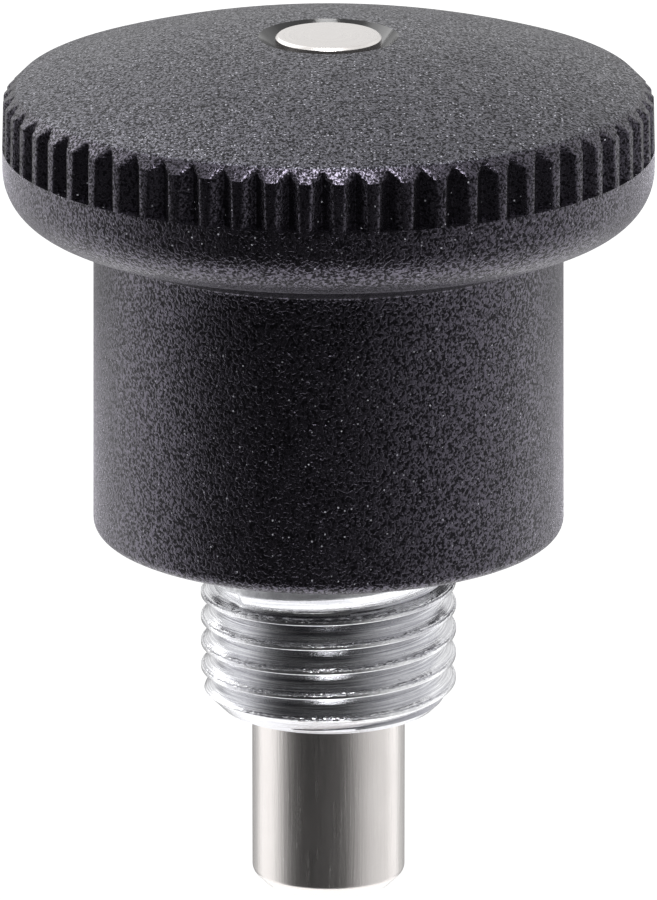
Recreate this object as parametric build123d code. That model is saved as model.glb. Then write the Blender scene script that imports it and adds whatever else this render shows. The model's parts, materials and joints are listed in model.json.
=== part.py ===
from build123d import *
import os
from math import cos, pi, radians, sin, sqrt, tan

# Indexing plunger without a rest position: a threaded guide, a sprung pin and a pull knob.
# Lengths are in millimetres. The origin is on the axis, in the seat face of the guide, which
# lands on the plate that the thread is screwed into. +Z points from the seat to the knob.

# ---------------------------------------------------------------- driving dimensions
# Guide: turned from hexagon bar, with a fine thread below the seat
thread_diameter = 10.0        # major diameter of M10 x 1, modelled as a plain cylinder
thread_length = 7.0           # seat face to the threaded end
thread_chamfer = 0.75         # cone at the threaded end
seat_width = 1.0              # flat ring outside the thread, across the flats
hexagon_chamfer = 0.35        # how far the corners are turned back at both ends
guide_roof = 1.5              # wall that closes the spring chamber
bore_mouth_chamfer = 0.3      # where the pin leaves the guide

# Pin: turned and ground, one piece from the nose to the crown of the knob
pin_diameter = 6.0            # ground part that locates the other machine part
pin_reach = 7.4               # nose beyond the threaded end, spring extended
nose_chamfer = 0.5
shoulder_chamfer = 0.2        # edge of the step that carries the spring
pin_end_chamfer = 0.1         # edge of the disc that shows in the crown
pin_end_proud = 0.05          # disc above the rim of the countersink
retaining_groove_count = 3    # turned rings that the pressed-on knob grips
retaining_groove_depth = 0.15
retaining_groove_width = 0.5
retaining_groove_pitch = 1.2

# Spring: round wire, ends closed and ground
spring_wire = 0.6
spring_active_turns = 6
spring_end_turns = 1          # closed turns at each end
spring_turn_gap = 0.05        # air between the closed turns
spring_reserve = 0.4          # length left over when the knob is pulled right out

# Knob: one moulding
skirt_gap = 0.15              # skirt above the seat, so that the guide seats first
skirt_wall = 2.0              # outside the corners of the socket
skirt_flare = 0.08            # the skirt is this much wider at its foot
skirt_foot_fillet = 0.5
socket_grip = 3.45            # hexagon still inside the socket at full pull
underside_height = 1.0        # foot of the head above the roof of the socket
underside_slope = 21.0        # degrees from level
underside_fillet = 0.35       # hollow corner between skirt and head
head_overhang = 3.5           # head beyond the skirt
rim_radius = 2.04             # round lower edge of the head
rim_land = 0.85               # plain band between the round edge and the knurl
knurl_height = 1.85
knurl_taper = 0.05            # the rim is this much smaller at the top of the knurl
knurl_pitch = 1.3             # round the rim, from groove to groove
groove_width = 0.8
groove_depth = 0.45
knurl_turn = 1.85             # degrees that one crest stands to the right of the front
rim_chamfer = 0.53
crown_rise = 2.02             # top of the dome above the rim's chamfer
countersink_width = 0.65      # round the pin's end, at 45 degrees

# Clearances
running_clearance = 0.05      # on the radius, pin and shank in the guide
spring_clearance = 0.2        # on the radius, wire to the bore and to the shank
socket_clearance = 0.15       # on each flat, hexagon to socket

# ---------------------------------------------------------------- sizes that follow
travel = pin_reach                                     # the pulled pin is flush with the thread
thread_radius = thread_diameter / 2
pin_radius = pin_diameter / 2
bore_radius = pin_radius + running_clearance
shank_radius = bore_radius - 2 * spring_clearance - spring_wire
shank_hole_radius = shank_radius + running_clearance
hexagon_flat_radius = thread_radius + seat_width
hexagon_height = travel + skirt_gap + socket_grip

chamber_top = hexagon_height - guide_roof
spring_turns = spring_active_turns + 2 * spring_end_turns
spring_solid = spring_turns * (spring_wire + spring_turn_gap)
spring_length = spring_solid + spring_reserve + travel
pin_shoulder = chamber_top - spring_length
spring_radius = (bore_radius + shank_radius) / 2

pin_tip = -thread_length - pin_reach

socket_flat_radius = hexagon_flat_radius + socket_clearance
socket_corner_radius = socket_flat_radius / cos(radians(30))
skirt_radius = socket_corner_radius + skirt_wall
head_radius = skirt_radius + head_overhang
underside_z = hexagon_height + underside_height
rim_start_radius = head_radius - rim_radius * (1 - sin(radians(underside_slope)))
rim_start_z = underside_z + (rim_start_radius - skirt_radius) * tan(radians(underside_slope))
rim_end_z = rim_start_z + rim_radius * cos(radians(underside_slope))
knurl_bottom = rim_end_z + rim_land
knurl_top = knurl_bottom + knurl_height
rim_top_radius = head_radius - knurl_taper
crown_edge_radius = rim_top_radius - rim_chamfer
crown_edge_z = knurl_top + rim_chamfer
crown_top = crown_edge_z + crown_rise
crown_sphere = (crown_edge_radius ** 2 + crown_rise ** 2) / (2 * crown_rise)
countersink_radius = shank_radius + countersink_width
countersink_z = crown_top - crown_sphere + sqrt(crown_sphere ** 2 - countersink_radius ** 2)
pin_top = countersink_z + pin_end_proud


def turned(points):
    """Solid of revolution about Z from a closed outline of (radius, z) points."""
    outline = make_face(Plane.XZ * Polyline(*points, close=True))
    return revolve(outline, Axis.Z)


def hexagon_prism(flat_radius, bottom, top):
    """Upright hexagonal prism with two flats square to X."""
    outline = RegularPolygon(flat_radius, 6, major_radius=False, rotation=30)
    return Pos(0, 0, bottom) * extrude(outline, top - bottom)


def make_guide_body():
    """Thread below the seat, hexagon above it, one bore with a roof for the spring."""
    corner_radius = hexagon_flat_radius / cos(radians(30))
    bevel = corner_radius - hexagon_flat_radius + hexagon_chamfer
    bevel_height = bevel * tan(radians(30))
    turned_hexagon = turned([
        (0, 0),
        (corner_radius - bevel, 0),
        (corner_radius, bevel_height),
        (corner_radius, hexagon_height - bevel_height),
        (corner_radius - bevel, hexagon_height),
        (0, hexagon_height),
    ])
    hexagon = hexagon_prism(hexagon_flat_radius, 0, hexagon_height) & turned_hexagon
    threaded_end = turned([
        (0, -thread_length),
        (thread_radius - thread_chamfer, -thread_length),
        (thread_radius, -thread_length + thread_chamfer),
        (thread_radius, 0),
        (0, 0),
    ])
    bore = turned([
        (0, -thread_length),
        (bore_radius + bore_mouth_chamfer, -thread_length),
        (bore_radius, -thread_length + bore_mouth_chamfer),
        (bore_radius, chamber_top),
        (shank_hole_radius, chamber_top),
        (shank_hole_radius, hexagon_height),
        (0, hexagon_height),
    ])
    return hexagon + threaded_end - bore


def make_plunger_pin():
    """Ground nose, step for the spring, and a shank that ends as a disc in the crown."""
    pin = turned([
        (0, pin_tip),
        (pin_radius - nose_chamfer, pin_tip),
        (pin_radius, pin_tip + nose_chamfer),
        (pin_radius, pin_shoulder - shoulder_chamfer),
        (pin_radius - shoulder_chamfer, pin_shoulder),
        (shank_radius, pin_shoulder),
        (shank_radius, pin_top - pin_end_chamfer),
        (shank_radius - pin_end_chamfer, pin_top),
        (0, pin_top),
    ])
    grip_middle = (hexagon_height + countersink_z - countersink_width) / 2
    first_groove = grip_middle - retaining_groove_pitch * (retaining_groove_count - 1) / 2
    for index in range(retaining_groove_count):
        groove_z = first_groove + index * retaining_groove_pitch
        ring = Cylinder(shank_radius + retaining_groove_depth, retaining_groove_width)
        ring -= Cylinder(shank_radius - retaining_groove_depth, retaining_groove_width)
        pin -= Pos(0, 0, groove_z) * ring
    return pin


def coil(pitch, turns, start_z, start_turn):
    """Wire on one helix about Z that begins start_turn turns round from +X."""
    path = Helix(pitch, pitch * turns, spring_radius)
    section = Plane(origin=path @ 0, z_dir=path % 0) * Circle(spring_wire / 2)
    wire = sweep(section, path=path, is_frenet=True)
    return Pos(0, 0, start_z) * Rot(0, 0, 360 * start_turn) * wire


def make_compression_spring():
    """Closed turn, open turns, closed turn, with both ends ground flat."""
    end_pitch = spring_wire + spring_turn_gap
    end_height = end_pitch * spring_end_turns
    active_pitch = (spring_length - 2 * end_height) / spring_active_turns
    lower_joint = pin_shoulder + end_height
    upper_joint = chamber_top - end_height
    upper_turn = spring_end_turns + spring_active_turns
    spring = coil(end_pitch, spring_end_turns, pin_shoulder, 0)
    spring += coil(active_pitch, spring_active_turns, lower_joint, spring_end_turns)
    spring += coil(end_pitch, spring_end_turns, upper_joint, upper_turn)
    for joint_z, joint_turn in ((lower_joint, spring_end_turns), (upper_joint, upper_turn)):
        joint = Rot(0, 0, 360 * joint_turn) * Pos(spring_radius, 0, joint_z)
        spring += joint * Sphere(spring_wire / 2)
    ground_space = Pos(0, 0, pin_shoulder + spring_length / 2) * Cylinder(bore_radius, spring_length)
    return spring & ground_space


def knob_section():
    """Half section of the knob's outside, from the foot of the skirt to the crown."""
    foot_radius = skirt_radius + skirt_flare
    rim_heading = (cos(radians(underside_slope)), sin(radians(underside_slope)))
    crown_middle = crown_edge_radius / 2
    crown_middle_z = crown_top - crown_sphere + sqrt(crown_sphere ** 2 - crown_middle ** 2)
    with BuildSketch(Plane.XZ) as section:
        with BuildLine():
            Polyline((0, crown_top), (0, skirt_gap), (foot_radius, skirt_gap))
            Line((foot_radius, skirt_gap), (skirt_radius, underside_z))
            Line((skirt_radius, underside_z), (rim_start_radius, rim_start_z))
            JernArc((rim_start_radius, rim_start_z), rim_heading, rim_radius, 90 - underside_slope)
            Polyline(
                (head_radius, rim_end_z),
                (head_radius, knurl_bottom),
                (rim_top_radius, knurl_top),
                (crown_edge_radius, crown_edge_z),
            )
            ThreePointArc(
                (crown_edge_radius, crown_edge_z),
                (crown_middle, crown_middle_z),
                (0, crown_top),
            )
        make_face()
        foot = section.vertices().sort_by_distance(Vector(foot_radius, skirt_gap))[0]
        fillet(foot, skirt_foot_fillet)
        corner = section.vertices().sort_by_distance(Vector(skirt_radius, underside_z))[0]
        fillet(corner, underside_fillet)
    return section.sketch


def knurl_grooves():
    """All V-grooves of the rim as one cutter, open at the top and with a ledge below."""
    groove_count = round(2 * pi * head_radius / knurl_pitch)
    cut_depth = 2 * groove_depth
    cut_width = groove_width * cut_depth / groove_depth
    crest_angle = -90 + knurl_turn
    first_angle = crest_angle + 180 / groove_count
    vee = Polygon((0, 0), (cut_depth, -cut_width / 2), (cut_depth, cut_width / 2), align=None)
    around = PolarLocations(head_radius - groove_depth, groove_count, first_angle)
    outline = Sketch() + [location * vee for location in around]
    return Pos(0, 0, knurl_bottom) * extrude(outline, crown_top - knurl_bottom)


def make_knob():
    """Mushroom head and skirt, with the socket, the bore for the shank and the countersink."""
    knob = revolve(knob_section(), Axis.Z)
    knob -= knurl_grooves()
    knob -= hexagon_prism(socket_flat_radius, 0, hexagon_height)
    mouth_depth = socket_corner_radius - socket_flat_radius
    knob -= turned([
        (0, skirt_gap),
        (socket_corner_radius, skirt_gap),
        (socket_flat_radius, skirt_gap + mouth_depth),
        (0, skirt_gap + mouth_depth),
    ])
    knob -= turned([
        (0, hexagon_height),
        (shank_radius, hexagon_height),
        (shank_radius, countersink_z - countersink_width),
        (countersink_radius, countersink_z),
        (countersink_radius, crown_top),
        (0, crown_top),
    ])
    return knob


pieces = {
    "guide_body": make_guide_body(),
    "plunger_pin": make_plunger_pin(),
    "compression_spring": make_compression_spring(),
    "knob": make_knob(),
}

os.makedirs("parts", exist_ok=True)
for name, shape in pieces.items():
    export_step(shape, f"parts/{name}.step")
    print(name, "volume", round(shape.volume, 2), "mm3")
print("travel", travel, "overall height", round(crown_top - pin_tip, 2))
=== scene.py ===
# %% [markdown]
# # An indexing plunger
#
# This part holds a slide or a turntable in place. Its threaded guide is screwed into a plate,
# a spring keeps the pin out, and the pin drops into a hole of the part to be held. A pull on
# the knob draws the pin back. Four pieces make it: a guide, a pin, a spring and a knob.
#
# The solid model already fixes where each piece is and how the knob travels. Here the pieces
# get the shapes and finishes that a solid model leaves out: the cut thread, the soft edges of a
# moulding, ground and plated steel, and the eroded grain of the knob.

# %% Load the solid model as a fixed frame
import json
import math

import bmesh
import bpy
import numpy as np
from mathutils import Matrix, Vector


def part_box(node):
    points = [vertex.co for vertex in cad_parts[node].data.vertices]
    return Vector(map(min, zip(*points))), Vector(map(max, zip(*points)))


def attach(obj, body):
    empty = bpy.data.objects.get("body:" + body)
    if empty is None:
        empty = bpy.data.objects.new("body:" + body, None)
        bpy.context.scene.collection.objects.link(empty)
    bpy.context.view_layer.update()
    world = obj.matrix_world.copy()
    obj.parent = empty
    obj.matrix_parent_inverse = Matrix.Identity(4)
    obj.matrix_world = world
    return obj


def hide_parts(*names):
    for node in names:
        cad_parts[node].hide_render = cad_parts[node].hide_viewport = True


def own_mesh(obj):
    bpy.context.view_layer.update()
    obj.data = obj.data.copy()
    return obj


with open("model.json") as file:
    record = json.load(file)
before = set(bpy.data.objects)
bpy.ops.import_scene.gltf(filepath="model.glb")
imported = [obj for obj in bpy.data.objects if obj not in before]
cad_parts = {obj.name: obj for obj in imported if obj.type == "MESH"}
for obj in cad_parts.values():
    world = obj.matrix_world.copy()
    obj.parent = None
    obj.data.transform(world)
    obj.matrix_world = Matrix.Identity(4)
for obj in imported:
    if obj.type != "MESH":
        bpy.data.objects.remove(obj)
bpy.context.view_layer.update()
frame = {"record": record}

# %% [markdown]
# ## Sizes
#
# Every size that the solid model knows is read from it, so the looks follow the solids if they
# change. What it can't tell, such as the height of the knurl, is a named value. Lengths in
# Blender are metres, so the small ones are written as so many times MM.

# %% Sizes that come from the frame
MM = 0.001
SEAT_Z = 0.0

guide_low, guide_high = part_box("guide_body")
pin_low, pin_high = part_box("plunger_pin")
spring_low, spring_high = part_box("compression_spring")
knob_low, knob_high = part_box("knob")
mounts = {mount["name"]: mount for mount in frame["record"]["mounts"]}

THREAD_RADIUS = mounts["mounting_thread"]["dims"]["r_mm"] * MM
NOSE_RADIUS = mounts["locating_nose"]["dims"]["r_mm"] * MM
THREAD_END = guide_low.z
HEXAGON_TOP = guide_high.z
HEXAGON_FLAT = guide_high.x

# %% Clearances and bores that the solids share
RUNNING_CLEARANCE = 0.05 * MM
SPRING_CLEARANCE = 0.2 * MM
SOCKET_CLEARANCE = 0.15 * MM
GUIDE_ROOF = 1.5 * MM
WIRE = 0.6 * MM

BORE = NOSE_RADIUS + RUNNING_CLEARANCE
SHANK = BORE - 2 * SPRING_CLEARANCE - WIRE
SHANK_HOLE = SHANK + RUNNING_CLEARANCE
CHAMBER_TOP = HEXAGON_TOP - GUIDE_ROOF
print("bore", BORE / MM, "shank", SHANK / MM, "chamber top", CHAMBER_TOP / MM)

# %% [markdown]
# ## How the meshes are made
#
# All four pieces are round, so the natural way is the lathe's: an outline of (radius, height)
# points is turned about the axis. A primitive or a Screw modifier could do that for the pin, but
# not for a knurl, a hexagon or a thread, where the radius also changes with the angle. So one
# helper joins any stack of rings. Each ring has the same number of points, and a ring may be
# round, six-sided or notched.
#
# No real edge is perfectly sharp. A second helper rounds the corners of an outline, and that
# thin round is what catches the light along an edge.

# %% Round the corners of an outline
def rounded(points, radii, steps=4):
    """The outline with each inner corner replaced by an arc; a radius of 0 keeps the corner."""
    outline = [Vector(points[0])]
    for before, corner, after, radius in zip(points, points[1:], points[2:], radii):
        before, corner, after = Vector(before), Vector(corner), Vector(after)
        to_before = (before - corner).normalized()
        to_after = (after - corner).normalized()
        half = to_before.angle(to_after) / 2
        if radius == 0 or half > math.radians(89):
            outline.append(corner)
            continue
        middle = corner + (to_before + to_after).normalized() * radius / math.sin(half)
        reach = radius / math.tan(half)
        start = corner + to_before * reach - middle
        turn = start.angle_signed(corner + to_after * reach - middle)
        for step in range(steps + 1):
            angle = -turn * step / steps
            cosine, sine = math.cos(angle), math.sin(angle)
            outline.append(middle + Vector((
                start.x * cosine - start.y * sine,
                start.x * sine + start.y * cosine,
            )))
    outline.append(Vector(points[-1]))
    return outline


test_corner = rounded([(0, 0), (1, 0), (1, 1)], [0.2])
print("a square corner rounded:", [tuple(round(v, 3) for v in p) for p in test_corner])

# %% Join a stack of rings into a skin
def ring(angles, radius, height):
    """Points at the given angles; radius and height are numbers or one value for each angle."""
    x = radius * np.cos(angles)
    y = radius * np.sin(angles)
    z = height * np.ones_like(angles)
    return np.column_stack([x, y, z])


def skin(rings, closed):
    """Points and quads between neighbouring rings; closed joins the last ring to the first."""
    count = len(rings[0])
    points = np.vstack(rings)
    last = len(rings) if closed else len(rings) - 1
    faces = []
    for row in range(last):
        low = row * count
        high = (row + 1) % len(rings) * count
        for column in range(count):
            beside = (column + 1) % count
            faces.append((low + column, low + beside, high + beside, high + column))
    return points, faces


# %% Turn points and faces into a clean object
WELD = 0.0002 * MM


def make_piece(name, parts, smooth_angle=35):
    """One object from several (points, faces) parts, welded where they meet."""
    mesh = bpy.data.meshes.new(name)
    points = np.vstack([part[0] for part in parts])
    faces = []
    offset = 0
    for part_points, part_faces in parts:
        faces += [tuple(index + offset for index in face) for face in part_faces]
        offset += len(part_points)
    mesh.from_pydata(points.tolist(), [], faces)
    work = bmesh.new()
    work.from_mesh(mesh)
    bmesh.ops.remove_doubles(work, verts=work.verts, dist=WELD)
    bmesh.ops.dissolve_degenerate(work, edges=work.edges, dist=WELD)
    bmesh.ops.recalc_face_normals(work, faces=work.faces)
    open_edges = sum(not edge.is_manifold for edge in work.edges)
    work.to_mesh(mesh)
    work.free()
    mesh.shade_smooth()
    mesh.set_sharp_from_angle(angle=math.radians(smooth_angle))
    piece = bpy.data.objects.new(name, mesh)
    bpy.context.scene.collection.objects.link(piece)
    weighted = piece.modifiers.new("even shading", "WEIGHTED_NORMAL")
    weighted.keep_sharp = True
    print(name, "faces", len(mesh.polygons), "edges that aren't closed", open_edges)
    return piece


def even_angles(count):
    """Angles of a ring, starting at +X and going once round."""
    return np.arange(count) * 2 * math.pi / count


def six_sided(angles, flat):
    """Radius at each angle of a hexagon with two flats square to X."""
    sector = math.radians(60)
    from_flat = (angles + sector / 2) % sector - sector / 2
    return flat / np.cos(from_flat)


# %% [markdown]
# ## The pin
#
# The pin is turned from stainless bar and then ground where it has to fit. Its foot is chamfered
# so that it finds its hole, a step half way up carries the spring, and the slim shank ends as a
# small bright disc in the crown of the knob. Rings turned into the shank hold the knob on.
# It is a plain lathe job: one outline, from the tip's middle to the top's middle.

# %% Turn the pin
NOSE_CHAMFER = 0.5 * MM
SHOULDER_CHAMFER = 0.2 * MM
SHANK_END_CHAMFER = 0.1 * MM
EDGE = 0.04 * MM
NOSE_EDGE = 0.35 * MM
GRIP_RINGS = 3
GRIP_RING_DEPTH = 0.15 * MM
GRIP_RING_WIDTH = 0.5 * MM
GRIP_RING_PITCH = 1.2 * MM
COUNTERSINK_WIDTH = 0.65 * MM
PIN_COLUMNS = 192

pin_tip, pin_top = pin_low.z, pin_high.z
shoulder_z = spring_low.z
countersink_z = knob_high.z


def pin_outline():
    """Outline of the pin and the radius of each of its corners."""
    shank_run = [(SHANK, shoulder_z, 0)]
    grip_middle = (HEXAGON_TOP + countersink_z - COUNTERSINK_WIDTH) / 2
    first_ring = grip_middle - GRIP_RING_PITCH * (GRIP_RINGS - 1) / 2
    for index in range(GRIP_RINGS):
        low = first_ring + index * GRIP_RING_PITCH - GRIP_RING_WIDTH / 2
        high = low + GRIP_RING_WIDTH
        inner = SHANK - GRIP_RING_DEPTH
        shank_run += [(SHANK, low, 0), (inner, low, 0), (inner, high, 0), (SHANK, high, 0)]
    corners = [
        (0, pin_tip, 0),
        (NOSE_RADIUS - NOSE_CHAMFER, pin_tip, EDGE),
        (NOSE_RADIUS, pin_tip + NOSE_CHAMFER, NOSE_EDGE),
        (NOSE_RADIUS, shoulder_z - SHOULDER_CHAMFER, EDGE),
        (NOSE_RADIUS - SHOULDER_CHAMFER, shoulder_z, EDGE),
        *shank_run,
        (SHANK, pin_top - SHANK_END_CHAMFER, EDGE),
        (SHANK - SHANK_END_CHAMFER, pin_top, EDGE),
        (0, pin_top, 0),
    ]
    points = [corner[:2] for corner in corners]
    radii = [corner[2] for corner in corners[1:-1]]
    return rounded(points, radii)


pin_angles = even_angles(PIN_COLUMNS)
pin_rings = [ring(pin_angles, point.x, point.y) for point in pin_outline()]
ground_pin = make_piece("ground_pin", [skin(pin_rings, closed=False)])

# %% [markdown]
# ## The spring
#
# The spring is round wire wound into a helix, with its end turns laid flat and ground square so
# that it stands straight. A circle swept along the helix gives the wire. The height rises slowly
# in the end turns and quickly in between, and the ground faces are made by holding every point
# inside the two end planes.

# %% Wind the spring
ACTIVE_TURNS = 6
END_TURNS = 1
TURN_GAP = 0.05 * MM
STEPS_PER_TURN = 60
WIRE_SIDES = 20


def spring_height(turn):
    """Height of the wire's centre after a number of turns from the lower end."""
    end_pitch = WIRE + TURN_GAP
    end_height = end_pitch * END_TURNS
    length = spring_high.z - spring_low.z
    active_pitch = (length - 2 * end_height) / ACTIVE_TURNS
    low = min(turn, END_TURNS)
    middle = min(max(turn - END_TURNS, 0), ACTIVE_TURNS)
    high = max(turn - END_TURNS - ACTIVE_TURNS, 0)
    return spring_low.z + (low + high) * end_pitch + middle * active_pitch


def wind_spring():
    """Rings of the wire's section along the helix, with both ends capped."""
    coil_radius = (BORE + SHANK) / 2
    turns = ACTIVE_TURNS + 2 * END_TURNS
    steps = turns * STEPS_PER_TURN
    around = even_angles(WIRE_SIDES)
    rings = []
    for step in range(steps + 1):
        turn = step / STEPS_PER_TURN
        angle = 2 * math.pi * turn
        radius = coil_radius + WIRE / 2 * np.cos(around)
        height = spring_height(turn) + WIRE / 2 * np.sin(around)
        height = np.clip(height, spring_low.z, spring_high.z)
        rings.append(np.column_stack([radius * math.cos(angle), radius * math.sin(angle), height]))
    points, faces = skin(rings, closed=False)
    faces.append(tuple(range(WIRE_SIDES)))
    faces.append(tuple(reversed(range(len(points) - WIRE_SIDES, len(points)))))
    return points, faces


wire_spring = make_piece("wire_spring", [wind_spring()])

# %% [markdown]
# ## The threaded guide
#
# The guide is turned from hexagon bar. A fine thread of 1 mm pitch is cut below the seat. Its
# ridges climb to the right, so rows of points that climb with them keep each crest a clean line:
# a plain grid of rings would cut every crest into steps. The rows are held inside the two ends
# of the thread, where they gather into one flat ring and weld to the rest of the guide.
#
# Each ridge has a rounded crest with a small lip of metal turned over along its upper edge, torn
# a little all the way, and the groove between two ridges ends in a sharp V. That outline is
# drawn once, across one ridge, and its points become the rows.
#
# The die that cuts the thread has a tapered mouth. Where it stopped, below the seat, the last
# groove is shallow and its upper wall is part of that taper. The wall starts with a small step,
# left by the edge of the die, it grows from there, and it fades out on the far side.

# %% Shape of one ridge
PITCH = 1.0 * MM
THREAD_DEPTH = 0.6 * MM
CREST_BELOW = 0.07 * MM
CREST_ABOVE = 0.085 * MM
CREST_ROUND = 0.06 * MM
LIP_ROUND = CREST_ROUND * 0.7
LIP_FOOT = 0.104 * MM
LIP_FOOT_ROUND = CREST_ROUND / 4
LIP_DROP = 0.084 * MM
LEDGE_END = 0.145 * MM
LEDGE_DROP = 0.092 * MM
FLANK_STEP = 0.07 * MM

ridge_outline = rounded(
    [
        (-PITCH / 2, -THREAD_DEPTH),
        (-CREST_BELOW, 0),
        (CREST_ABOVE, 0),
        (LIP_FOOT, -LIP_DROP),
        (LEDGE_END, -LEDGE_DROP),
        (PITCH / 2, -THREAD_DEPTH),
    ],
    [CREST_ROUND, LIP_ROUND, LIP_FOOT_ROUND, 0],
    steps=2,
)
outline_heights = [point.x for point in ridge_outline]
flank_heights = np.arange(FLANK_STEP - PITCH / 2, PITCH / 2, FLANK_STEP)
row_heights = np.unique([*outline_heights[:-1], *flank_heights])
row_depths = -np.interp(row_heights, outline_heights, [point.y for point in ridge_outline])
print("thread", THREAD_DEPTH / MM, "mm deep,", len(row_heights), "rows to a turn")

# %% The last groove
CREST_AT_FRONT = -2.28 * MM
THREAD_TOP = -0.7 * MM
THREAD_CHAMFER = 0.75 * MM
DIE_EDGE = math.radians(-44)
DIE_STEP = 0.05 * MM
DIE_TAPER = 0.43
DIE_OPENING = 0.35 * MM
DIE_WALL_LOW = 0.37 * MM
DIE_WALL_GROWTH = 0.165 * MM
DIE_WALL_TURN = 2.4
GROOVE_END = math.radians(170)
GROOVE_FADE = math.radians(70)


def last_groove(ridge_depth, from_front, above_root):
    """Depth at each angle of a row in the last groove, where the mouth of the die stopped."""
    past_edge = from_front - DIE_EDGE
    wall_height = DIE_WALL_LOW + DIE_WALL_GROWTH * np.clip(past_edge, 0, DIE_WALL_TURN)
    taper = np.maximum(wall_height - above_root, 0) * DIE_TAPER
    before = np.minimum(ridge_depth, taper + DIE_STEP - DIE_OPENING * past_edge)
    beyond = np.where(above_root > 0, taper, np.minimum(ridge_depth, taper))
    fade = np.clip((GROOVE_END - from_front) / GROOVE_FADE, 0, 1)
    return np.where(past_edge < 0, before, beyond) * fade


print("the sloping wall starts", math.degrees(DIE_EDGE), "degrees from the front")

# %% Cut the thread
GUIDE_COLUMNS = 360
FRONT = math.radians(-90)
LIP_TEAR = 0.02 * MM
torn_lip = np.random.default_rng(7)


def row_depth(turn, row_height, ridge_depth, from_front, above_root):
    """Depth at each angle of a row: a full turn, the last groove or the plain neck above it."""
    tear = torn_lip.uniform(-LIP_TEAR, LIP_TEAR, GUIDE_COLUMNS)
    if 0 < row_height < LEDGE_END:
        ridge_depth = np.maximum(ridge_depth + tear, 0)
    if turn < 0 or (turn == 0 and row_height < 0):
        return ridge_depth
    if turn > 1:
        return np.zeros(GUIDE_COLUMNS)
    if turn == 1 and row_height >= 0:
        ridge_depth = 0.0
    return last_groove(ridge_depth, from_front, above_root)


def wind_thread():
    """Rows that climb with the thread, held between its end face and the plain neck."""
    from_front = even_angles(GUIDE_COLUMNS) - math.pi
    angles = from_front + FRONT
    climb = PITCH * from_front / (2 * math.pi)
    first = math.floor((THREAD_END - CREST_AT_FRONT) / PITCH) - 1
    last = math.ceil((THREAD_TOP - CREST_AT_FRONT) / PITCH) + 1
    rows = []
    for turn in range(first, last + 1):
        for row_height, ridge_depth in zip(row_heights, row_depths):
            on_helix = CREST_AT_FRONT + turn * PITCH + row_height + climb
            height = np.clip(on_helix, THREAD_END, THREAD_TOP)
            above_root = height - (CREST_AT_FRONT + PITCH / 2 + climb)
            depth = row_depth(turn, row_height, ridge_depth, from_front, above_root)
            cone = THREAD_RADIUS - THREAD_CHAMFER + height - THREAD_END
            rows.append(ring(angles, np.minimum(THREAD_RADIUS - depth, cone), height))
    points = np.vstack(rows)
    faces = []
    for row in range(len(rows) - 1):
        for column in range(GUIDE_COLUMNS):
            beside = column + 1
            climbed = 0
            if beside == GUIDE_COLUMNS:
                beside = 0
                climbed = len(row_heights)
            if row + 1 + climbed >= len(rows):
                continue
            low = row * GUIDE_COLUMNS
            low_beside = (row + climbed) * GUIDE_COLUMNS
            faces.append((
                low + column,
                low_beside + beside,
                low_beside + GUIDE_COLUMNS + beside,
                low + GUIDE_COLUMNS + column,
            ))
    return points, faces


# %% Build the guide
BORE_MOUTH_CHAMFER = 0.3 * MM
HEXAGON_CHAMFER = 0.35 * MM
BEVEL_RINGS = 9


def guide_rings():
    """Rings from the neck, round the hexagon, down the bore and back to the thread's end."""
    angles = even_angles(GUIDE_COLUMNS) - math.pi + FRONT
    hexagon = six_sided(angles, HEXAGON_FLAT)
    corner = HEXAGON_FLAT / math.cos(math.radians(30))
    bevel = corner - HEXAGON_FLAT + HEXAGON_CHAMFER
    bevel_rise = bevel * math.tan(math.radians(30))
    rings = [
        ring(angles, THREAD_RADIUS, THREAD_TOP),
        ring(angles, THREAD_RADIUS, SEAT_Z - 2 * EDGE),
        ring(angles, THREAD_RADIUS, SEAT_Z - EDGE / 2),
        ring(angles, THREAD_RADIUS + EDGE, SEAT_Z),
    ]
    for low, step in ((SEAT_Z, 1), (HEXAGON_TOP, -1)):
        level = [
            ring(
                angles,
                np.minimum(hexagon, corner - bevel * (1 - share)),
                low + step * bevel_rise * share,
            )
            for share in np.linspace(0, 1, BEVEL_RINGS)
        ]
        rings += level[::step]
    rings += [
        ring(angles, SHANK_HOLE + EDGE, HEXAGON_TOP),
        ring(angles, SHANK_HOLE, HEXAGON_TOP - EDGE),
        ring(angles, SHANK_HOLE, CHAMBER_TOP),
        ring(angles, BORE, CHAMBER_TOP),
        ring(angles, BORE, THREAD_END + BORE_MOUTH_CHAMFER),
        ring(angles, BORE + BORE_MOUTH_CHAMFER, THREAD_END),
        ring(angles, THREAD_RADIUS - THREAD_CHAMFER, THREAD_END),
    ]
    return rings


threaded_guide = make_piece("threaded_guide", [wind_thread(), skin(guide_rings(), closed=False)])

# %% [markdown]
# ## The knob
#
# The knob is one moulding. A domed head gives the fingers something to pull on, a knurl round its
# rim gives grip, and the skirt hides the hexagon and the seat. The outline is turned like the
# other pieces, and the V-grooves of the knurl are cut by taking, at every point, the smaller of
# the rim's radius and the groove's radius. The smaller of the two, blended a little, also leaves
# the soft edge that a mould gives.

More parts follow.
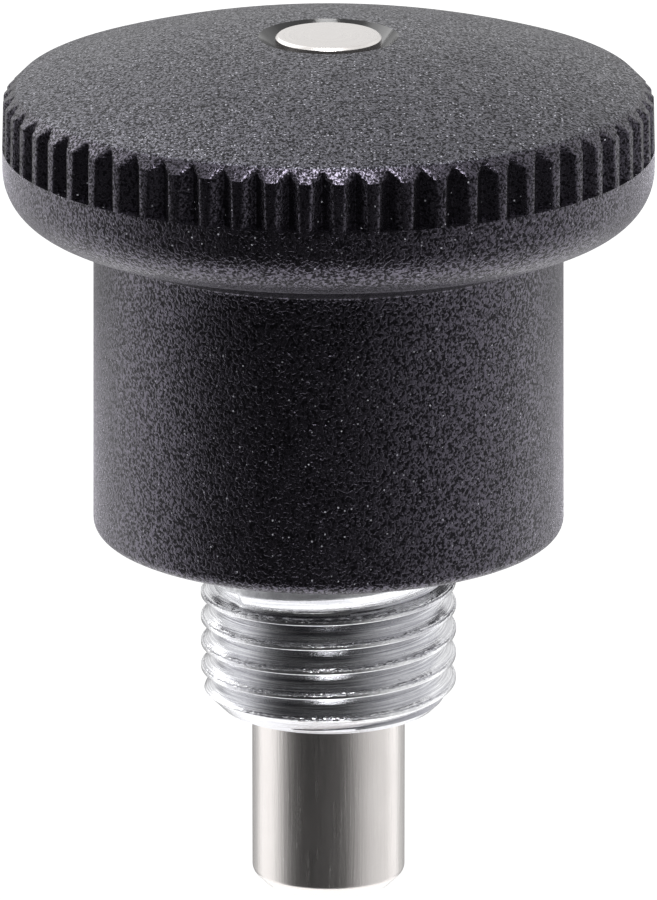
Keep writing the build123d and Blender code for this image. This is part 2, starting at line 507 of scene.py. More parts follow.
# %% Sizes of the knob
HEAD_RADIUS = knob_high.x
SKIRT_GAP = knob_low.z
SKIRT_WALL = 2.0 * MM
SKIRT_FLARE = 0.08 * MM
FOOT_ROUND = 0.5 * MM
UNDERSIDE_HEIGHT = 1.0 * MM
UNDERSIDE_SLOPE = math.radians(21)
UNDERSIDE_ROUND = 0.1 * MM
RIM_ROUND = 2.04 * MM
RIM_LAND = 0.85 * MM
KNURL_HEIGHT = 1.85 * MM
KNURL_TAPER = 0.05 * MM
RIM_CHAMFER = 0.53 * MM
CROWN_RISE = 2.02 * MM
GROOVES = 61
GROOVE_WIDTH = 0.92 * MM
GROOVE_DEPTH = 0.45 * MM
KNURL_TURN = math.radians(1.85)
MOULD_ROUND = 0.03 * MM
CROWN_EDGE_ROUND = 0.06 * MM
KNURL_EDGE_ROUND = 0.05 * MM

SOCKET_FLAT = HEXAGON_FLAT + SOCKET_CLEARANCE
SOCKET_CORNER = SOCKET_FLAT / math.cos(math.radians(30))
SKIRT = SOCKET_CORNER + SKIRT_WALL
UNDERSIDE_Z = HEXAGON_TOP + UNDERSIDE_HEIGHT
rim_start = HEAD_RADIUS - RIM_ROUND * (1 - math.sin(UNDERSIDE_SLOPE))
rim_start_z = UNDERSIDE_Z + (rim_start - SKIRT) * math.tan(UNDERSIDE_SLOPE)
rim_end_z = rim_start_z + RIM_ROUND * math.cos(UNDERSIDE_SLOPE)
knurl_low = rim_end_z + RIM_LAND
knurl_high = knurl_low + KNURL_HEIGHT
crown_edge = HEAD_RADIUS - KNURL_TAPER - RIM_CHAMFER
crown_edge_z = knurl_high + RIM_CHAMFER
crown_top = crown_edge_z + CROWN_RISE
crown_sphere = (crown_edge ** 2 + CROWN_RISE ** 2) / (2 * CROWN_RISE)
print("knurl from", knurl_low / MM, "to", knurl_high / MM, "crown at", crown_top / MM)


def crown_height(radius):
    """Height of the dome at a radius."""
    return crown_top - crown_sphere + math.sqrt(crown_sphere ** 2 - radius ** 2)


# %% Angles that follow the knurl
HALF_GROOVE = (0.03, 0.16, 0.3, 0.35, 0.4)
groove_step = 2 * math.pi / GROOVES
first_groove = FRONT + KNURL_TURN + groove_step / 2


def knurl_angles():
    """Angles of a ring, closer together at the edges of each groove."""
    parts = [0.0, *HALF_GROOVE, 0.5, *[1 - part for part in reversed(HALF_GROOVE)]]
    return np.array([
        first_groove + groove_step * (groove + part)
        for groove in range(GROOVES)
        for part in parts
    ])


def groove_radius(angles):
    """Radius of the groove's walls at each angle, past the rim between grooves."""
    half_step = groove_step / 2
    from_groove = (angles - first_groove + half_step) % groove_step - half_step
    away = np.abs(from_groove) * HEAD_RADIUS
    wall = np.sqrt(away ** 2 + MOULD_ROUND ** 2) - MOULD_ROUND
    return HEAD_RADIUS - GROOVE_DEPTH + wall * 2 * GROOVE_DEPTH / GROOVE_WIDTH


def smaller(first, second, blend):
    """The smaller of two radii, blended where they are close."""
    gap = np.clip(0.5 + 0.5 * (second - first) / blend, 0, 1)
    return second * (1 - gap) + first * gap - blend * gap * (1 - gap)


# %% Build the knob
CROWN_POINTS = 26
ROUND_POINTS = 16
KNURL_ROWS = 10
LAND_ROWS = 6
SKIRT_ROWS = 12
MOUTH_RINGS = 10


def knob_outline():
    """Crown, knurled rim, round edge and skirt of the outer outline, from the top down."""
    crown_radii = np.linspace(crown_edge, SHANK + COUNTERSINK_WIDTH, CROWN_POINTS)[::-1]
    crown = [(radius, crown_height(radius)) for radius in crown_radii]
    foot = SKIRT + SKIRT_FLARE
    rim_top = HEAD_RADIUS - KNURL_TAPER
    rim_middle = HEAD_RADIUS - RIM_ROUND
    round_edge = [
        (rim_middle + RIM_ROUND * math.cos(turn), rim_end_z - RIM_ROUND * math.sin(turn))
        for turn in np.linspace(0, math.pi / 2 - UNDERSIDE_SLOPE, ROUND_POINTS)
    ]
    rim = rounded(
        [crown[-2], crown[-1], (rim_top, knurl_high), (HEAD_RADIUS, knurl_low)],
        [CROWN_EDGE_ROUND, KNURL_EDGE_ROUND],
    )
    skirt = rounded(
        [round_edge[-1], (SKIRT, UNDERSIDE_Z), (foot, SKIRT_GAP), (SOCKET_CORNER, SKIRT_GAP)],
        [UNDERSIDE_ROUND, FOOT_ROUND],
        steps=8,
    )
    crown = [Vector(point) for point in crown[:-2]]
    round_edge = [Vector(point) for point in round_edge]
    return crown, rim, round_edge, skirt


def stretch(start, end, steps):
    """Points from start to end, both included."""
    return [start.lerp(end, step / steps) for step in range(steps + 1)]


def knob_rings():
    """Rings over the outside, up the socket and back through the bore."""
    angles = knurl_angles()
    twelfth = math.radians(30)
    level = even_angles(len(angles)) + round(angles[0] / twelfth) * twelfth
    notch = groove_radius(angles)
    crown, rim, round_edge, skirt = knob_outline()

    # The rim and the skirt each have two rounded corners. The straight run between them is
    # divided into rows, so that the grooves end cleanly.
    knurled = [*crown, *rim[:6]]
    knurled += stretch(rim[5], rim[6], KNURL_ROWS)[1:]
    knurled += rim[7:-1]
    knurled += stretch(rim[-2], rim[-1], LAND_ROWS)[1:]
    plain = [*round_edge, *skirt[1:9]]
    plain += stretch(skirt[9], skirt[10], SKIRT_ROWS)[1:-1]
    plain += skirt[10:-1]
    rings = [ring(angles, smaller(point.x, notch, MOULD_ROUND), point.y) for point in knurled]
    rings.append(ring(angles, HEAD_RADIUS, knurl_low - MOULD_ROUND / 2))
    rings += [ring(angles, point.x, point.y) for point in plain]
    rings.append(ring(level, SOCKET_CORNER, SKIRT_GAP))
    hexagon = six_sided(level, SOCKET_FLAT)
    mouth = SOCKET_CORNER - SOCKET_FLAT
    for share in np.linspace(1 / MOUTH_RINGS, 1, MOUTH_RINGS):
        cone = SOCKET_CORNER - mouth * share
        rings.append(ring(level, np.maximum(hexagon, cone), SKIRT_GAP + mouth * share))
    rings += [
        ring(level, hexagon, HEXAGON_TOP),
        ring(level, SHANK, HEXAGON_TOP),
        ring(level, SHANK, countersink_z - COUNTERSINK_WIDTH),
    ]
    return rings


moulded_knob = make_piece("moulded_knob", [skin(knob_rings(), closed=True)])

# %% [markdown]
# ## How the finishes are made
#
# A finish is a small network of nodes. Its patterns are worked out in space, not painted on a
# picture, so they need no unwrapping and keep their scale. All of them start from the object's
# own coordinates, turned into millimetres: a noise of scale 6 then has about six grains in a
# millimetre. They move with the piece, because the coordinates belong to it.
#
# A few calls are used again and again, so they get short names in one small class.

# %% A bench for making finishes
class Finish:
    """One material. Each call adds a node; an input may be a number or another node's output."""

    def __init__(self, name):
        self.material = bpy.data.materials.new(name)
        self.material.use_nodes = True
        self.tree = self.material.node_tree
        self.shader = self.tree.nodes["Principled BSDF"]
        place = self.add("TexCoord", {})
        scaled = self.add("Mapping", {"Vector": place.outputs["Object"], "Scale": (1 / MM,) * 3})
        self.mm = scaled.outputs[0]

    def fill(self, node, inputs):
        """Give a node its inputs, by name or by number."""
        for key, value in inputs.items():
            if isinstance(value, bpy.types.NodeSocket):
                self.tree.links.new(value, node.inputs[key])
            else:
                node.inputs[key].default_value = value

    def add(self, kind, inputs, **settings):
        """A new node of a kind."""
        node = self.tree.nodes.new("ShaderNode" + kind)
        for setting, value in settings.items():
            setattr(node, setting, value)
        self.fill(node, inputs)
        return node

    def calculate(self, operation, first, second=0.0):
        """A number worked out from one or two others."""
        return self.add("Math", {0: first, 1: second}, operation=operation).outputs[0]

    def stretch(self, scale):
        """Coordinates in millimetres, stretched along each axis."""
        return self.add("Mapping", {"Vector": self.mm, "Scale": scale}).outputs[0]

    def noise(self, scale, detail=2.0, roughness=0.5, distortion=0.0, vector=None):
        """Soft noise with about this many grains in a millimetre."""
        inputs = {"Vector": vector or self.mm, "Scale": scale, "Detail": detail,
                  "Roughness": roughness, "Distortion": distortion}
        return self.add("TexNoise", inputs).outputs[0]

    def spread(self, value, low, high, to_low, to_high):
        """The part of value from low to high, spread over another range."""
        inputs = {"Value": value, "From Min": low, "From Max": high,
                  "To Min": to_low, "To Max": to_high}
        return self.add("MapRange", inputs).outputs[0]

    def between(self, amount, first, second):
        """A colour between two others; each is red, green and blue, or a node's output."""
        node = self.add("Mix", {}, data_type="RGBA")
        ends = [end if isinstance(end, bpy.types.NodeSocket) else (*end, 1)
                for end in (first, second)]
        self.fill(node, {0: amount, 6: ends[0], 7: ends[1]})
        return node.outputs[2]

    def relief(self, height, depth, below=None):
        """Bumps as deep as depth, on the surface or on other bumps."""
        inputs = {"Height": height, "Distance": depth, "Strength": 1.0}
        if below is not None:
            inputs["Normal"] = below
        return self.add("Bump", inputs).outputs[0]

    def radius(self):
        """Distance from the axis, in millimetres."""
        flat = self.add("VectorMath", {0: self.mm, 1: (1, 1, 0)}, operation="MULTIPLY")
        length = self.add("VectorMath", {0: flat.outputs[0]}, operation="LENGTH")
        return length.outputs["Value"]

    def lines(self, across, count, drift):
        """Fine lines where across is constant, count in a millimetre, that change slowly."""
        slow = self.stretch((drift, drift, drift))
        inputs = {"Vector": slow, "W": self.calculate("MULTIPLY", across, count),
                  "Scale": 1.0, "Detail": 3.0, "Roughness": 0.6}
        return self.add("TexNoise", inputs, noise_dimensions="4D").outputs[0]


print("patterns are", round(1 / MM), "times finer than the object's own coordinates")

# %% [markdown]
# ## Black polyamide
#
# The mould of a knob like this is spark-eroded. That leaves small round craters in the steel,
# and the plastic comes out with a fine wrinkled skin, like leather seen from afar. It hides
# scratches and gives grip. The crown has a finer grain than the skirt. Pale specks are painted
# into the colour, many on the crown and few elsewhere, as painted glints where glass fibres and
# smooth facets throw the light back. The spark hardly reaches into the grooves of the knurl and
# the corner under the head, so they stay smoother.
#
# The wrinkles are noise, distorted so that its grains run into one another. Their tops are
# smooth, and the valleys between them are rough. Shade is painted into the valleys: their
# reflection is turned down and their black made a little deeper, as in deep narrow places. They
# are bumps: real wrinkles would need millions of faces and look the same.

# %% Eroded plastic
INK = (0.0004, 0.00035, 0.0005)
INK_LIGHT = (0.0014, 0.0012, 0.0016)
# The pale grey painted on a few grain cells as their glint: a painted highlight.
GLINT_PAINT = (0.42, 0.42, 0.46)
GLINT_CELLS_PER_MM = 8.0


def eroded(name, grains, depth, glint_share, roughness, gloss, tint, fuzz=0.0):
    """Black plastic with a wrinkled skin; grains in a millimetre, depth in metres.

    tint colours what it mirrors when seen straight on, fuzz is the pale bloom at a low angle.
    """
    finish = Finish(name)
    wrinkles = finish.noise(grains, 0.6, 0.5, 0.7)
    fine = finish.noise(grains * 3.1, 1.0, 0.5)
    slow = finish.noise(0.35, 2.0, 0.5)
    plateau = finish.spread(wrinkles, 0.4, 0.64, 0, 1)
    waves = finish.calculate("ADD", wrinkles, finish.calculate("MULTIPLY", fine, 0.3))
    height = finish.calculate("ADD", finish.calculate("MULTIPLY", plateau, 1.3), waves)

    # A few cells of a Voronoi pattern get a pale speck in the base colour: painted glints where
    # glass fibres and smooth facets throw the light back.
    cells = finish.add("TexVoronoi", {"Vector": finish.mm, "Scale": GLINT_CELLS_PER_MM})
    parts = finish.add("SeparateColor", {0: cells.outputs["Color"]}).outputs
    chosen = finish.calculate("GREATER_THAN", parts[0], 1 - glint_share)
    small = finish.spread(cells.outputs["Distance"], 0.2, 0.34, 1, 0)
    glint = finish.calculate("MULTIPLY", chosen, finish.spread(parts[1], 0, 1, 0.1, 1))
    painted_glint = finish.calculate("MULTIPLY", glint, small)

    # The black is a little deeper in the valleys of the wrinkles, which is painted shade, and it
    # also varies slowly from place to place.
    shade = finish.calculate("MULTIPLY", wrinkles, finish.spread(slow, 0.3, 0.7, 0.8, 1.2))
    ink = finish.between(finish.spread(shade, 0.35, 0.7, 0, 1), INK, INK_LIGHT)
    rough = finish.spread(plateau, 0, 1, roughness + 0.25, roughness)
    rough = finish.calculate("ADD", rough, finish.spread(slow, 0.3, 0.7, -0.03, 0.03))
    finish.fill(finish.shader, {
        "Base Color": finish.between(painted_glint, ink, GLINT_PAINT),
        "Roughness": rough,
        # The reflection is turned down in the valleys: painted shade.
        "Specular IOR Level": finish.spread(plateau, 0, 1, gloss * 0.15, gloss * 1.5),
        "Normal": finish.relief(height, depth),
        "IOR": 1.7,
        "Specular Tint": (*tint, 1),
        "Sheen Weight": fuzz,
        "Sheen Roughness": 0.3,
        "Sheen Tint": (0.92, 0.88, 1.0, 1),
    })
    return finish.material


skirt_skin = eroded("eroded polyamide", grains=8.6, depth=0.0068 * MM, glint_share=0.05,
                    roughness=0.13, gloss=1.0, tint=(0.48, 0.44, 0.56), fuzz=0.55)
knurl_skin = eroded("smoother polyamide", grains=11.0, depth=0.003 * MM, glint_share=0.03,
                    roughness=0.2, gloss=0.7, tint=(0.6, 0.55, 0.7))
crown_skin = eroded("fine eroded polyamide", grains=9.5, depth=0.010 * MM, glint_share=0.25,
                    roughness=0.24, gloss=0.62, tint=(0.85, 0.83, 1.0))
print("eroded skins:", skirt_skin.name, knurl_skin.name, crown_skin.name)


# %% Smooth plastic
def smooth_plastic():
    """The polished core pins of the mould leave the countersink and the socket smooth."""
    finish = Finish("smooth polyamide")
    haze = finish.noise(1.3, 3.0)
    grain = finish.noise(14.0, 2.0)
    finish.fill(finish.shader, {
        "Base Color": finish.between(haze, (0.003, 0.0027, 0.0034), (0.006, 0.0055, 0.0066)),
        "Roughness": finish.spread(haze, 0.3, 0.7, 0.1, 0.2),
        "Normal": finish.relief(grain, 0.0015 * MM),
        "IOR": 1.54,
    })
    return finish.material


core_skin = smooth_plastic()

# %% [markdown]
# ## Zinc-plated thread
#
# The guide is steel, cut and then plated with bright zinc. The die leaves fine lines that run
# along each flank, so every line stays at its own distance from the axis. Noise that depends on
# that distance and hardly on anything else draws just such lines, and it has no seam. The
# crests are torn a little by the die, which shows as a broken, sparkling edge. The neck above
# the last groove was never cut and keeps a dull, scaly skin. The end chamfer is rough too, and
# its zinc is painted darker there, as shade on a band that faces down.

# %% Plated thread
ZINC = (0.87, 0.875, 0.885)
ZINC_DULL = (0.5, 0.5, 0.53)
ZINC_SPECK = (0.12, 0.12, 0.13)
UNCUT_LOW = -1.75 * MM
UNCUT_FADE = 0.15 * MM
END_BAND = 0.5 * MM
END_FADE = 0.2 * MM


def plated_thread():
    """Bright zinc over cut steel, with lines along the flanks and torn crests."""
    finish = Finish("zinc plated thread")
    radius = finish.radius()
    height = finish.add("SeparateXYZ", {0: finish.mm}).outputs[2]
    flank_lines = finish.lines(radius, 26.0, 0.35)
    neck_lines = finish.lines(height, 9.0, 0.3)
    grain = finish.noise(16.0, 2.0, 0.6)
    torn = finish.noise(7.0, 3.0, 0.7)
    rim = THREAD_RADIUS / MM
    crest = finish.spread(radius, rim - 0.07, rim - 0.01, 0, 1)
    end_low = (THREAD_END + END_BAND) / MM
    at_end = finish.spread(height, end_low, end_low + END_FADE / MM, 1, 0)

    cut = finish.relief(flank_lines, 0.009 * MM)
    turned = finish.relief(neck_lines, 0.004 * MM, cut)
    chamfered = finish.relief(finish.calculate("MULTIPLY", torn, at_end), 0.012 * MM, turned)
    plated = finish.relief(grain, 0.004 * MM, chamfered)
    ragged = finish.calculate("MULTIPLY", torn, crest)
    normal = finish.relief(ragged, 0.009 * MM, plated)

    dull_lines_and_end_shade = finish.spread(flank_lines, 0.38, 0.66, 1, 0)
    # The end chamfer is painted darker too: painted shade on a band that faces down.
    dull_lines_and_end_shade = finish.calculate("MAXIMUM", dull_lines_and_end_shade, finish.calculate("MULTIPLY", at_end, 0.8))
    on_neck = finish.spread(height, UNCUT_LOW / MM, (UNCUT_LOW + UNCUT_FADE) / MM, 0, 1)
    outermost = finish.spread(radius, rim - 0.025, rim - 0.005, 0, 1)
    uncut = finish.calculate("MULTIPLY", outermost, on_neck)
    scaly = finish.calculate("MULTIPLY", uncut, finish.spread(torn, 0.35, 0.65, 0.2, 0.6))
    rough = finish.calculate("ADD", finish.spread(flank_lines, 0.3, 0.7, 0.11, 0.22), scaly)
    specks = finish.spread(grain, 0.62, 0.72, 0, 0.5)
    finish.fill(finish.shader, {
        "Base Color": finish.between(specks, finish.between(dull_lines_and_end_shade, ZINC, ZINC_DULL), ZINC_SPECK),
        "Metallic": 1.0,
        "Roughness": rough,
        "Normal": normal,
    })
    return finish.material


def plated_bar():
    """Bright zinc over the drawn faces of the hexagon, with streaks along the bar."""
    finish = Finish("zinc plated bar")
    streaks = finish.noise(1.0, 3.0, 0.6, vector=finish.stretch((9, 9, 0.5)))
    grain = finish.noise(16.0, 2.0, 0.6)
    drawn = finish.relief(streaks, 0.004 * MM)
    finish.fill(finish.shader, {
        "Base Color": finish.between(streaks, ZINC_DULL, ZINC),
        "Metallic": 1.0,
        "Roughness": finish.spread(streaks, 0.3, 0.7, 0.2, 0.34),
        "Normal": finish.relief(grain, 0.003 * MM, drawn),
    })
    return finish.material


thread_finish = plated_thread()
bar_finish = plated_bar()
print("plated finishes:", thread_finish.name, bar_finish.name)

# %% [markdown]
# ## Ground stainless steel
#
# The nose is ground and then polished lengthwise, so it has a satin look with faint streaks
# along the pin. The end that shows in the crown was only faced on the lathe: its lines are
# rings about the axis. The same kind of noise makes both, stretched along the axis for the
# streaks, and following the radius for the rings.

# %% Ground steel
STAINLESS = (0.70, 0.67, 0.655)
STAINLESS_DULL = (0.58, 0.55, 0.535)


def ground_steel():
    """Satin stainless steel with streaks along the pin and a few specks."""
    finish = Finish("ground stainless")
    streaks = finish.noise(1.0, 3.0, 0.6, vector=finish.stretch((11, 11, 0.35)))
    cloud = finish.noise(0.8, 3.0, 0.6, vector=finish.stretch((1, 1, 0.35)))
    grain = finish.noise(15.0, 2.0, 0.6)
    polished = finish.relief(streaks, 0.005 * MM)
    finish.fill(finish.shader, {
        "Base Color": finish.between(cloud, STAINLESS_DULL, STAINLESS),
        "Metallic": 1.0,
        "Roughness": finish.spread(streaks, 0.3, 0.7, 0.19, 0.28),
        "Normal": finish.relief(grain, 0.0015 * MM, polished),
    })
    return finish.material


def faced_steel():
    """The faced end of the shank and the turned chamfer, with rings about the axis."""
    finish = Finish("faced stainless")
    rings = finish.lines(finish.radius(), 14.0, 0.25)
    grain = finish.noise(12.0, 2.0, 0.6)
    turned = finish.relief(rings, 0.003 * MM)
    finish.fill(finish.shader, {
        "Base Color": finish.between(rings, STAINLESS_DULL, (0.74, 0.72, 0.70)),
        "Metallic": 1.0,
        "Roughness": finish.spread(rings, 0.3, 0.7, 0.24, 0.36),
        "Normal": finish.relief(grain, 0.002 * MM, turned),
    })
    return finish.material


def drawn_wire():
    """Spring wire: streaks from the drawing die that run round with the coils."""
    finish = Finish("drawn spring wire")
    streaks = finish.lines(finish.radius(), 22.0, 0.6)
    grain = finish.noise(18.0, 2.0, 0.6)
    drawn = finish.relief(streaks, 0.004 * MM)
    finish.fill(finish.shader, {
        "Base Color": finish.between(streaks, (0.40, 0.39, 0.38), (0.56, 0.55, 0.54)),
        "Metallic": 1.0,
        "Roughness": finish.spread(streaks, 0.3, 0.7, 0.26, 0.38),
        "Normal": finish.relief(grain, 0.002 * MM, drawn),
    })
    return finish.material


pin_finish = ground_steel()
disc_finish = faced_steel()
wire_finish = drawn_wire()
print("steel finishes:", pin_finish.name, disc_finish.name, wire_finish.name)

# %% [markdown]
# ## Put the finishes on
#
# A piece can have more than one finish when its faces were made in different ways. Each face is
# given the one of its zone, judged by where its middle lies.

# %% Choose a finish for each face
def dress(piece, finishes, zone):
    """Give each face the finish that zone(radius, height) names by number."""
    for finish in finishes:
        piece.data.materials.append(finish)
    counts = [0] * len(finishes)
    for face in piece.data.polygons:
        middle = face.center
        face.material_index = zone(math.hypot(middle.x, middle.y), middle.z)
        counts[face.material_index] += 1
    print(piece.name, dict(zip([finish.name for finish in finishes], counts)))


def knob_zone(radius, height):
    """0 for skirt and rim, 1 for the crown, 2 for the socket, 3 for knurl and underside."""
    if radius < SHANK + COUNTERSINK_WIDTH - EDGE / 2 or radius < SOCKET_CORNER - EDGE:
        in_crown = height > crown_height(min(radius, crown_edge)) - EDGE / 2
        return 1 if in_crown and radius > SHANK + COUNTERSINK_WIDTH - EDGE / 2 else 2
    if height > crown_edge_z - EDGE:
        return 1
    under_head = radius > SKIRT + EDGE and UNDERSIDE_Z - EDGE < height < rim_start_z
    return 3 if under_head or height > knurl_low - MOULD_ROUND / 2 else 0


def pin_zone(radius, height):
    """0 for the ground and turned sides, 1 for the faced ends and the chamfers."""
    at_nose = height < pin_tip + NOSE_CHAMFER
    at_disc = height > pin_top - SHANK_END_CHAMFER - EDGE
    return 1 if at_nose or at_disc else 0


def guide_zone(radius, height):
    """0 for the thread and all turned faces, 1 for the flats of the hexagon."""
    return 1 if SEAT_Z + EDGE < height < HEXAGON_TOP - EDGE and radius > THREAD_RADIUS else 0


dress(moulded_knob, [skirt_skin, crown_skin, core_skin, knurl_skin], knob_zone)
dress(ground_pin, [pin_finish, disc_finish], pin_zone)
dress(threaded_guide, [thread_finish, bar_finish], guide_zone)
dress(wire_spring, [wire_finish], lambda radius, height: 0)

# %% [markdown]
# ## Fix the pieces to the bodies that move
#
# Guide and spring stay with the plate; pin and knob are pulled. The real spring does both: its
# upper end stays under the guide's roof while its foot is lifted by the pin, so it is squashed
# towards the roof as the knob is pulled. Here it rides with the guide, unchanged, and only gets a
# mesh of its own.

# %% Ride and replace
for piece, body, node, slot in (
    (threaded_guide, "guide", "guide_body", "plated_steel"),
    (wire_spring, "guide", "compression_spring", "spring_steel"),
    (ground_pin, "plunger", "plunger_pin", "stainless_steel"),
    (moulded_knob, "plunger", "knob", "black_polyamide"),
):
    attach(piece, body)
    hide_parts(node)
    print(piece.name, "rides on", body)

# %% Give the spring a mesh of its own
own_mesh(wire_spring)

# %% [markdown]
# ## The studio
#
# Bright metal looks like whatever stands round it, so the studio matters as much as the finish.
# The room looks plain white, to the eye and in the metal, but it lights at a lower level, so that
# the lamps and the room together are one plain exposure.

# %% The white room
ROOM_LIGHT = 0.55


def seen_directly(nodes, links):
    """1 for rays from the camera and for rays that metal or glass sends on, 0 for the others."""
    path = nodes.new("ShaderNodeLightPath")
    gloss = nodes.new("ShaderNodeMath")
    gloss.operation = "MAXIMUM"
    links.new(path.outputs["Is Camera Ray"], gloss.inputs[0])
    links.new(path.outputs["Is Glossy Ray"], gloss.inputs[1])
    either = nodes.new("ShaderNodeMath")
    either.operation = "MAXIMUM"
    links.new(gloss.outputs[0], either.inputs[0])
    links.new(path.outputs["Is Transmission Ray"], either.inputs[1])
    return either.outputs[0]


def white_room():
    """A world that looks white and lights at the level of the room."""
    world = bpy.data.worlds.new("white room")
    bpy.context.scene.world = world
    world.use_nodes = True
    nodes, links = world.node_tree.nodes, world.node_tree.links
    background = nodes["Background"]
    background.inputs["Color"].default_value = (1, 1, 1, 1)
    level = nodes.new("ShaderNodeMapRange")
    level.inputs["To Min"].default_value = ROOM_LIGHT
    level.inputs["To Max"].default_value = 1.0
    links.new(seen_directly(nodes, links), level.inputs["Value"])
    links.new(level.outputs[0], background.inputs["Strength"])


white_room()
print("room light", ROOM_LIGHT)

# %% [markdown]
# ## The floor
#
# A sheet of pale paper lies well below the part and takes its soft shadow. Lit by this room
# alone, it would look grey, so it also glows by itself, enough to look as white as the room, to
# the eye and in the metal. Its edges are turned up, so that no line of a horizon shows.

# %% The floor
FLOOR_Z = -0.2
FLOOR_SIDE = 4.0
FLOOR_FLAT = 1.6
FLOOR_GLOW = 0.7
PAPER = 0.8


def lay_floor():
    """A pale floor, subdivided a little and turned up at its edges like a sheet of paper."""
    mesh = bpy.data.meshes.new("floor")
    work = bmesh.new()
    bmesh.ops.create_grid(work, x_segments=24, y_segments=24, size=FLOOR_SIDE / 2)
    for vert in work.verts:
        past = max(0, max(abs(vert.co.x), abs(vert.co.y)) - FLOOR_FLAT)
        vert.co.z = FLOOR_Z + past * past
    work.to_mesh(mesh)
    work.free()
    floor = bpy.data.objects.new("floor", mesh)
    bpy.context.scene.collection.objects.link(floor)
    material = bpy.data.materials.new("pale paper")
    material.use_nodes = True
    nodes, links = material.node_tree.nodes, material.node_tree.links
    nodes.clear()
    paper = nodes.new("ShaderNodeBsdfDiffuse")
    paper.inputs["Color"].default_value = (PAPER, PAPER, PAPER, 1)
    glow = nodes.new("ShaderNodeEmission")
    level = nodes.new("ShaderNodeMapRange")
    level.inputs["To Max"].default_value = FLOOR_GLOW
    links.new(seen_directly(nodes, links), level.inputs["Value"])
    links.new(level.outputs[0], glow.inputs["Strength"])
    both = nodes.new("ShaderNodeAddShader")
    links.new(paper.outputs[0], both.inputs[0])
    links.new(glow.outputs[0], both.inputs[1])
    output = nodes.new("ShaderNodeOutputMaterial")
    links.new(both.outputs[0], output.inputs["Surface"])
    mesh.materials.append(material)
    return floor


floor = lay_floor()
print("floor", FLOOR_SIDE, "m wide at", FLOOR_Z, "m")

# %% [markdown]
# ## The graded cards
#
# A curved card stands in front of the part, dark in the middle and paler to the sides. The dark
# middle gives the pin and the thread their dark core, and the black skirt its depth. A second,
# lower card stands behind. The outer edges of the metal mirror what is behind the part, and
# that card keeps them from melting into the white room. Each card glows by itself, with a shade
# for every angle, and the camera doesn't see it.

# %% The graded cards
CARD_STEP = 2
CARD_RADIUS = 0.33
FRONT_CARD = ((0.2, -0.19), (0.28, -0.15), (CARD_RADIUS, -0.08), (CARD_RADIUS, 0.04),
              (CARD_RADIUS, 0.14), (0.5, 0.3), (0.56, 0.56))
FRONT_SHADES = (
    (-88, 1.1), (-80, 0.92), (-68, 0.38), (-58, 0.17), (-47, 0.08), (-38, 0.055), (-19, 0.045),
    (0, 0.075), (17, 0.085), (26, 0.18), (36, 0.31), (45, 0.5), (55, 0.72), (66, 0.86),
    (77, 0.97), (89, 1.05), (103, 1.12),
)
BACK_CARD = ((0.3, -0.19), (0.5, -0.15), (0.6, -0.05), (0.6, 0.02))
BACK_SHADES = (
    (128, 1.0), (140, 0.75), (152, 0.58), (180, 0.4), (208, 0.5), (222, 0.75), (232, 1.0),
)


def card_material():
    """A glow that follows the shade painted on the card's corners."""
    material = bpy.data.materials.new("graded card")
    material.use_nodes = True
    nodes, links = material.node_tree.nodes, material.node_tree.links
    nodes.clear()
    shade = nodes.new("ShaderNodeVertexColor")
    shade.layer_name = "shade"
    glow = nodes.new("ShaderNodeEmission")
    links.new(shade.outputs["Color"], glow.inputs["Color"])
    output = nodes.new("ShaderNodeOutputMaterial")
    links.new(glow.outputs[0], output.inputs["Surface"])
    return material


card_glow = card_material()


def stand_card(name, profile, shades_at):
    """A curved card: profile is (radius, height) upwards, shades_at (azimuth, shade) round it."""
    azimuths = np.arange(shades_at[0][0], shades_at[-1][0] + CARD_STEP, CARD_STEP)
    shades = np.interp(azimuths, *zip(*shades_at))
    points, tones = [], []
    for radius, height in profile:
        for azimuth, tone in zip(np.radians(azimuths), shades):
            points.append((radius * math.sin(azimuth), -radius * math.cos(azimuth), height))
            tones.append(tone)
    count = len(azimuths)
    faces = [
        (row * count + i, row * count + i + 1, (row + 1) * count + i + 1, (row + 1) * count + i)
        for row in range(len(profile) - 1)
        for i in range(count - 1)
    ]
    mesh = bpy.data.meshes.new(name)
    mesh.from_pydata(points, [], faces)
    layer = mesh.color_attributes.new("shade", "FLOAT_COLOR", "POINT")
    layer.data.foreach_set("color", [part for tone in tones for part in (tone, tone, tone, 1)])
    card = bpy.data.objects.new(name, mesh)
    bpy.context.scene.collection.objects.link(card)
    mesh.materials.append(card_glow)
    card.visible_camera = False
    print(name, len(mesh.polygons), "faces")


stand_card("front_card", FRONT_CARD, FRONT_SHADES)
stand_card("back_card", BACK_CARD, BACK_SHADES)


# %% [markdown]
# ## The lamps
#
# Four soft lamps light the part. A strip above the camera draws the sparkle on edges and grain,
# a weak panel on each side lifts the flanks, and one behind on the left brightens the rear of
# the crown. Their brightness is given as the radiance of the panel, so a larger lamp isn't a
# brighter one in the metal.

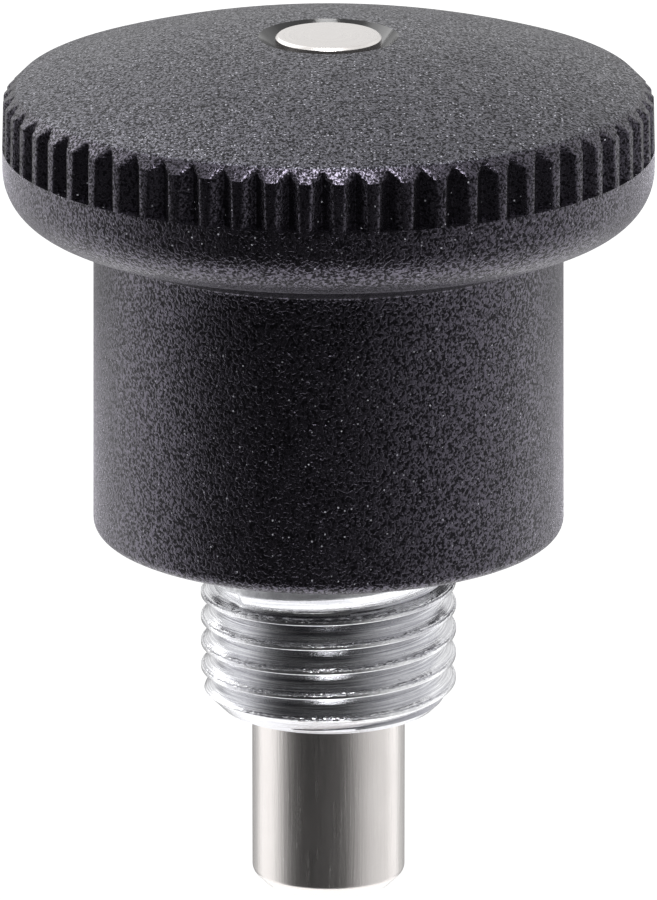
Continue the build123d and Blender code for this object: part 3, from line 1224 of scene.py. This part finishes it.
# %% The lamps
def soft_lamp(name, azimuth, elevation, distance, size, brightness):
    """A panel that faces the part; azimuth is in degrees, from the front round to the right."""
    data = bpy.data.lights.new(name, "AREA")
    data.shape = "RECTANGLE"
    data.size, data.size_y = size
    data.energy = brightness * math.pi * size[0] * size[1]
    lamp = bpy.data.objects.new(name, data)
    azimuth, elevation = math.radians(azimuth), math.radians(elevation)
    toward = Vector((
        math.sin(azimuth) * math.cos(elevation),
        -math.cos(azimuth) * math.cos(elevation),
        math.sin(elevation),
    ))
    lamp.location = toward * distance
    lamp.rotation_euler = toward.to_track_quat("Z", "Y").to_euler()
    lamp.visible_camera = False
    bpy.context.scene.collection.objects.link(lamp)
    print(name, "energy", round(data.energy, 3))


soft_lamp("strip above the camera", 0, 55, distance=0.45, size=(0.17, 0.4), brightness=11)
soft_lamp("left panel", -106, 10, distance=0.5, size=(0.4, 0.6), brightness=0.25)
soft_lamp("right panel", 118, 10, distance=0.5, size=(0.4, 0.6), brightness=0.25)
soft_lamp("left panel behind", -135, 42, distance=0.5, size=(0.34, 0.34), brightness=2.4)

# %% [markdown]
# ## The camera
#
# The part is seen from a little above, from far away and through a long lens, so that it hardly
# narrows towards its foot. The focal length is first worked out in pixels of a picture that is
# 900 pixels high, and then turned into a lens for the usual film width.

# %% Place the camera
PICTURE_HEIGHT = 900
FOCAL_PIXELS = 10355
FILM = 36
CAMERA_BACK = 0.3858
CAMERA_UP = 0.12134
CAMERA_DOWN = math.radians(17.02)

camera_data = bpy.data.cameras.new("camera")
camera_data.sensor_width = FILM
camera_data.lens = FOCAL_PIXELS * FILM / PICTURE_HEIGHT
camera_data.clip_start = 0.01
camera = bpy.data.objects.new("camera", camera_data)
camera.location = (0, -CAMERA_BACK, CAMERA_UP)
camera.rotation_euler = (math.pi / 2 - CAMERA_DOWN, 0, 0)
bpy.context.scene.collection.objects.link(camera)
bpy.context.scene.camera = camera
bpy.context.scene.view_settings.view_transform = "Standard"
print("lens", camera_data.lens, "mm")
